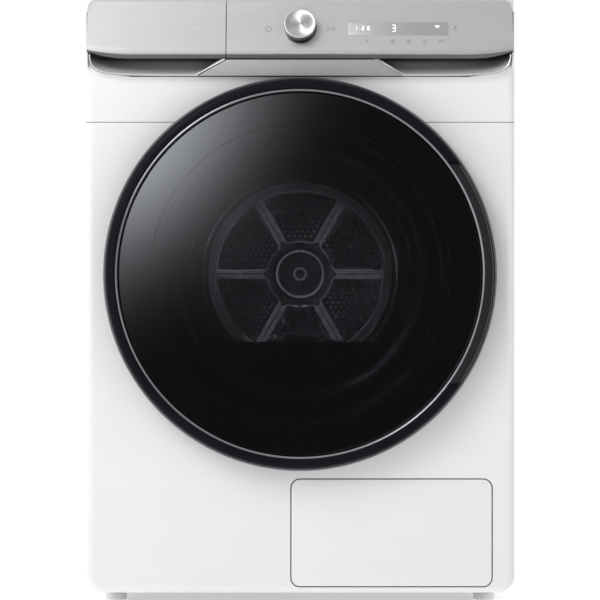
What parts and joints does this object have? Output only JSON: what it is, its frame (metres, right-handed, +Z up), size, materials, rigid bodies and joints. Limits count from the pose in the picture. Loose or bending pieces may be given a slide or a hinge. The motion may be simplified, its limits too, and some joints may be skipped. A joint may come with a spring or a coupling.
{
  "type": "clothes dryer",
  "caption": "Free-standing front-loading tumble dryer with a large round tinted door, a tilted control fascia, a water tank drawer and a service cover.",
  "frame": {"origin": "middle of the bounding box's underside, on the floor under the feet", "axes": "+Z up, the front with the door faces -Y, +X to the right seen from the front"},
  "size_m": [0.6, 0.65, 0.85],
  "materials": {
    "white_enamel": "gloss white powder coat",
    "white_top": "white laminate over board",
    "silver_fascia": "fine silver metallic paint",
    "grip_silver": "fine silver metallic paint",
    "display_tint": "silver tinted window",
    "board_green": "circuit board",
    "knob_metal": "spun",
    "ring_black": "piano black",
    "accent_chrome": "satin",
    "tinted_glass": "dark tinted",
    "clear_glass": "clear",
    "handle_grey": "satin graphite",
    "liner_black": "moulded",
    "seal_rubber": "matt",
    "zinc_steel": "zinc plated",
    "drum_steel": "stainless",
    "lifter_grey": "moulded",
    "hub_black": "moulded",
    "felt_grey": "felt",
    "black_moulding": "moulded",
    "filter_frame": "fine mesh in a frame",
    "base_grey": "moulded",
    "tank_milky": "translucent",
    "belt_rubber": "ribbed",
    "motor_grey": "laminations and caps",
    "compressor_black": "satin enamel",
    "fin_metal": "fins",
    "fan_plastic": "moulded",
    "foot_rubber": "grey rubber over a steel stem",
    "lever_blue": "moulded"
  },
  "bodies": {
    "cabinet": {"left_side_panel": "white_enamel", "right_side_panel": "white_enamel", "lower_front_panel": "white_enamel", "upper_front_strip": "white_enamel", "rear_panel": "zinc_steel", "rear_duct_cover": "zinc_steel", "power_inlet": "black_moulding", "worktop": "white_top", "control_fascia": "silver_fascia", "display_window": "display_tint", "control_board": "board_green", "right_grip": "grip_silver", "trim_strip": "grip_silver", "tank_guide": "base_grey", "hinge_arm": "zinc_steel", "hinge_pin": "zinc_steel", "latch_housing": "black_moulding", "rear_bearing": "zinc_steel", "front_bulkhead": "black_moulding", "drum_felt_seal": "felt_grey", "filter_housing": "black_moulding", "roller_axles": "zinc_steel", "drive_belt": "belt_rubber", "motor_body": "motor_grey", "fan_housing": "base_grey", "base_pan": "base_grey", "compressor": "compressor_black", "heat_exchangers": "fin_metal", "heat_exchanger_lid": "base_grey"},
    "door": {"door_outer_ring": "ring_black", "door_accent_ring": "accent_chrome", "door_glass": "tinted_glass", "door_handle": "handle_grey", "door_inner_liner": "liner_black", "door_bowl": "clear_glass", "door_seal": "seal_rubber", "door_latch_hook": "zinc_steel", "door_hinge_leaf": "zinc_steel"},
    "tank_drawer": {"tank_drawer_front": "silver_fascia", "drawer_grip": "grip_silver", "water_tank": "tank_milky"},
    "knob": {"selector_knob": "knob_metal"},
    "drum": {"drum_shell": "drum_steel", "drum_rear_wheel": "drum_steel", "drum_hub": "hub_black", "drum_shaft": "zinc_steel", "drum_lifters": "lifter_grey"},
    "left_roller": {"roller_left": "seal_rubber"},
    "right_roller": {"roller_right": "seal_rubber"},
    "rotor": {"motor_rotor": "zinc_steel", "fan_impeller": "fan_plastic"},
    "filter": {"lint_filter": "filter_frame"},
    "cover": {"service_cover": "white_enamel"},
    "left_lever": {"lock_lever_left": "lever_blue"},
    "right_lever": {"lock_lever_right": "lever_blue"},
    "catch": {"latch_catch": "black_moulding"},
    "foot_front_left": {"levelling_foot_front_left": "foot_rubber"},
    "foot_front_right": {"levelling_foot_front_right": "foot_rubber"},
    "foot_rear_left": {"levelling_foot_rear_left": "foot_rubber"},
    "foot_rear_right": {"levelling_foot_rear_right": "foot_rubber"}
  },
  "joints": [
    {"name": "door_hinge", "type": "hinge", "parent": "cabinet", "child": "door", "pos_m": [-0.257, -0.2975, 0.4607], "axis": [0, 0, -1], "range_deg": [0, 120]},
    {"name": "tank_slide", "type": "slide", "parent": "cabinet", "child": "tank_drawer", "axis": [0, -1, 0], "range_m": [0, 0.42]},
    {"name": "knob_turn", "type": "hinge", "parent": "cabinet", "child": "knob", "pos_m": [0, -0.27693, 0.8035], "axis": [0, -0.9456, 0.3252], "continuous": true},
    {"name": "drum_spin", "type": "hinge", "parent": "cabinet", "child": "drum", "pos_m": [0, 0, 0.4607], "axis": [0, 1, 0], "continuous": true},
    {"name": "left_roller_spin", "type": "hinge", "parent": "cabinet", "child": "left_roller", "pos_m": [-0.15345, -0.215, 0.19492], "axis": [0, 1, 0], "continuous": true},
    {"name": "right_roller_spin", "type": "hinge", "parent": "cabinet", "child": "right_roller", "pos_m": [0.15345, -0.215, 0.19492], "axis": [0, 1, 0], "continuous": true},
    {"name": "rotor_spin", "type": "hinge", "parent": "cabinet", "child": "rotor", "pos_m": [-0.17, 0.1, 0.105], "axis": [0, 1, 0], "continuous": true},
    {"name": "filter_lift", "type": "slide", "parent": "cabinet", "child": "filter", "axis": [0, 0, 1], "range_m": [0, 0.14]},
    {"name": "cover_hinge", "type": "hinge", "parent": "cabinet", "child": "cover", "pos_m": [0.1277, -0.275, 0.025], "axis": [1, 0, 0], "range_deg": [0, 92]},
    {"name": "left_lever_turn", "type": "hinge", "parent": "cabinet", "child": "left_lever", "pos_m": [0.036, -0.266, 0.091], "axis": [0, 1, 0], "range_deg": [0, 90]},
    {"name": "right_lever_turn", "type": "hinge", "parent": "cabinet", "child": "right_lever", "pos_m": [0.219, -0.266, 0.091], "axis": [0, 1, 0], "range_deg": [0, 90]},
    {"name": "catch_slide", "type": "slide", "parent": "cabinet", "child": "catch", "axis": [0, 0, -1], "range_m": [0, 0.0035], "stiffness_N_per_m": 400},
    {"name": "foot_front_left_screw", "type": "hinge", "parent": "cabinet", "child": "foot_front_left", "pos_m": [-0.26, -0.215, 0], "axis": [0, 0, 1], "continuous": true},
    {"name": "foot_front_right_screw", "type": "hinge", "parent": "cabinet", "child": "foot_front_right", "pos_m": [0.26, -0.215, 0], "axis": [0, 0, 1], "continuous": true},
    {"name": "foot_rear_left_screw", "type": "hinge", "parent": "cabinet", "child": "foot_rear_left", "pos_m": [-0.26, 0.262, 0], "axis": [0, 0, 1], "continuous": true},
    {"name": "foot_rear_right_screw", "type": "hinge", "parent": "cabinet", "child": "foot_rear_right", "pos_m": [0.26, 0.262, 0], "axis": [0, 0, 1], "continuous": true}
  ],
  "couplings": [
    {"joint": "left_roller_spin", "follows": "drum_spin", "ratio": -11.26},
    {"joint": "right_roller_spin", "follows": "drum_spin", "ratio": -11.26},
    {"joint": "rotor_spin", "follows": "drum_spin", "ratio": 28.15}
  ]
}
